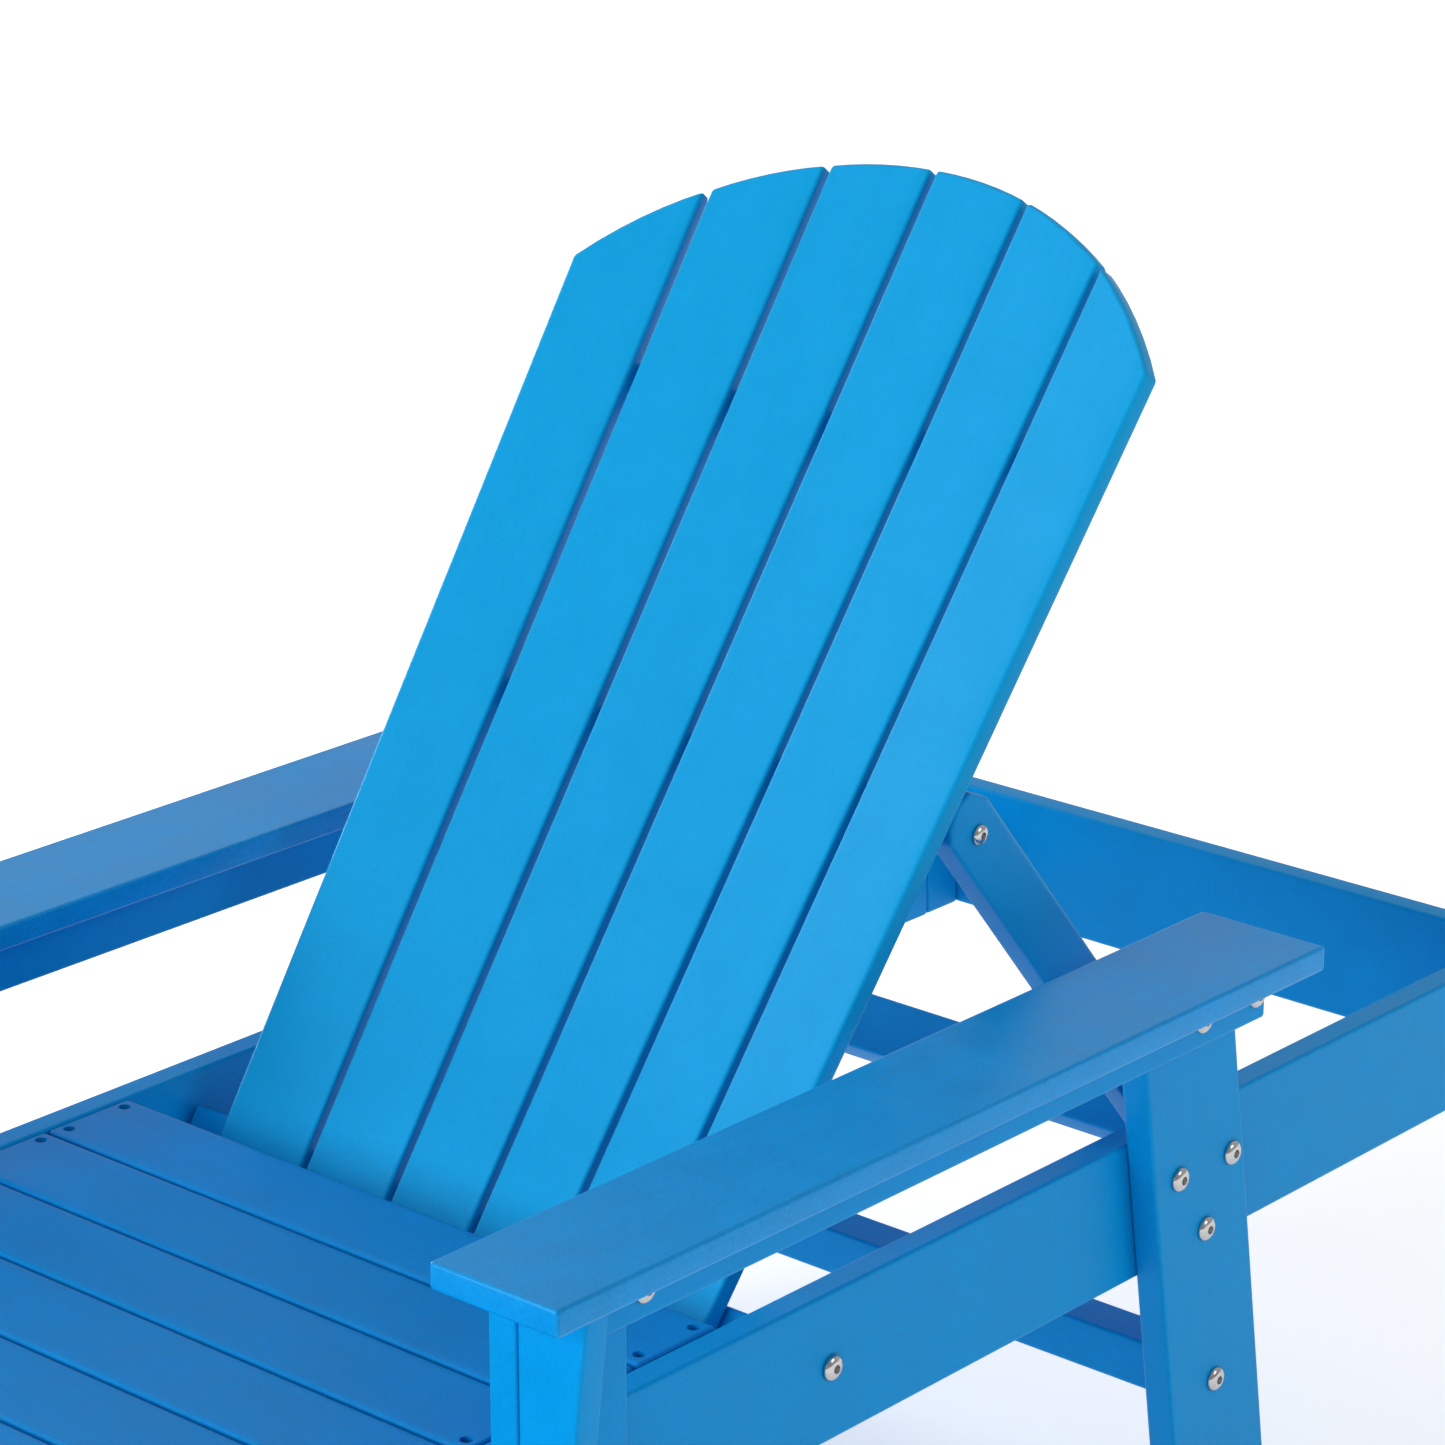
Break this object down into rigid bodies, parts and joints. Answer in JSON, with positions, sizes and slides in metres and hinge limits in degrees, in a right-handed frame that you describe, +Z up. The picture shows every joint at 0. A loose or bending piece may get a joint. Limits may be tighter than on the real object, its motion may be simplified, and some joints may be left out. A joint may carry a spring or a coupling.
{
  "type": "adirondack chaise lounge",
  "caption": "Adirondack chaise lounge in blue poly lumber: slatted seat, fanned arched back that reclines on a hinge and is held by a swinging prop, flat armrests.",
  "frame": {"origin": "on the floor, below the middle of the lounge's bounding box", "axes": "+Z up, +Y towards the head end, +X towards the sitter's left"},
  "size_m": [0.831, 1.95, 1.0368],
  "materials": {
    "back_boards": "satin, faint lengthwise grain",
    "seat_boards": "satin, faint lengthwise grain",
    "armrest_boards": "satin, faint lengthwise grain",
    "frame_boards": "satin, faint lengthwise grain",
    "stainless_bolts": "polished domed heads"
  },
  "bodies": {
    "frame": {"side_rail_left": "frame_boards", "side_rail_right": "frame_boards", "head_board": "frame_boards", "foot_board": "frame_boards", "seat_slat_01": "seat_boards", "seat_slat_02": "seat_boards", "seat_slat_03": "seat_boards", "seat_slat_04": "seat_boards", "seat_slat_05": "seat_boards", "seat_slat_06": "seat_boards", "seat_slat_07": "seat_boards", "seat_slat_08": "seat_boards", "seat_slat_09": "seat_boards", "seat_slat_10": "seat_boards", "seat_slat_11": "seat_boards", "seat_slat_12": "seat_boards", "seat_ledger_left": "frame_boards", "seat_ledger_right": "frame_boards", "recline_rack_left": "frame_boards", "recline_rack_right": "frame_boards", "corner_block_left": "frame_boards", "corner_block_right": "frame_boards", "front_leg_left": "frame_boards", "front_leg_right": "frame_boards", "rear_leg_left": "frame_boards", "rear_leg_right": "frame_boards", "foot_leg_left": "frame_boards", "foot_leg_right": "frame_boards", "rear_stretcher": "frame_boards", "front_stretcher": "frame_boards", "foot_stretcher": "frame_boards", "armrest_left": "armrest_boards", "armrest_right": "armrest_boards", "arm_apron_left": "frame_boards", "arm_apron_right": "frame_boards", "arm_bracket_left": "frame_boards", "arm_bracket_right": "frame_boards", "arm_spacer_front_left": "frame_boards", "arm_spacer_front_right": "frame_boards", "arm_spacer_rear_left": "frame_boards", "arm_spacer_rear_right": "frame_boards"},
    "back": {"back_slat_1": "back_boards", "back_slat_2": "back_boards", "back_slat_3": "back_boards", "back_slat_4": "back_boards", "back_slat_5": "back_boards", "back_slat_6": "back_boards", "back_batten_lower": "frame_boards", "back_batten_middle": "frame_boards", "back_batten_upper": "frame_boards", "back_pivot_bolt_left": "stainless_bolts", "back_pivot_bolt_right": "stainless_bolts"},
    "prop": {"prop_arm_left": "frame_boards", "prop_arm_right": "frame_boards", "prop_crossbar": "frame_boards", "prop_bolt_left": "stainless_bolts", "prop_bolt_right": "stainless_bolts"}
  },
  "joints": [
    {"name": "back_recline", "type": "hinge", "parent": "frame", "child": "back", "pos_m": [0, 0.1, 0.34485], "axis": [1, 0, 0], "range_deg": [-53, 6]},
    {"name": "prop_swing", "type": "hinge", "parent": "back", "child": "prop", "pos_m": [0, 0.32252, 0.64894], "axis": [1, 0, 0], "range_deg": [-12, 100.5]}
  ],
  "couplings": [
    {"joint": "prop_swing", "follows": "back_recline", "ratio": -1.884}
  ]
}
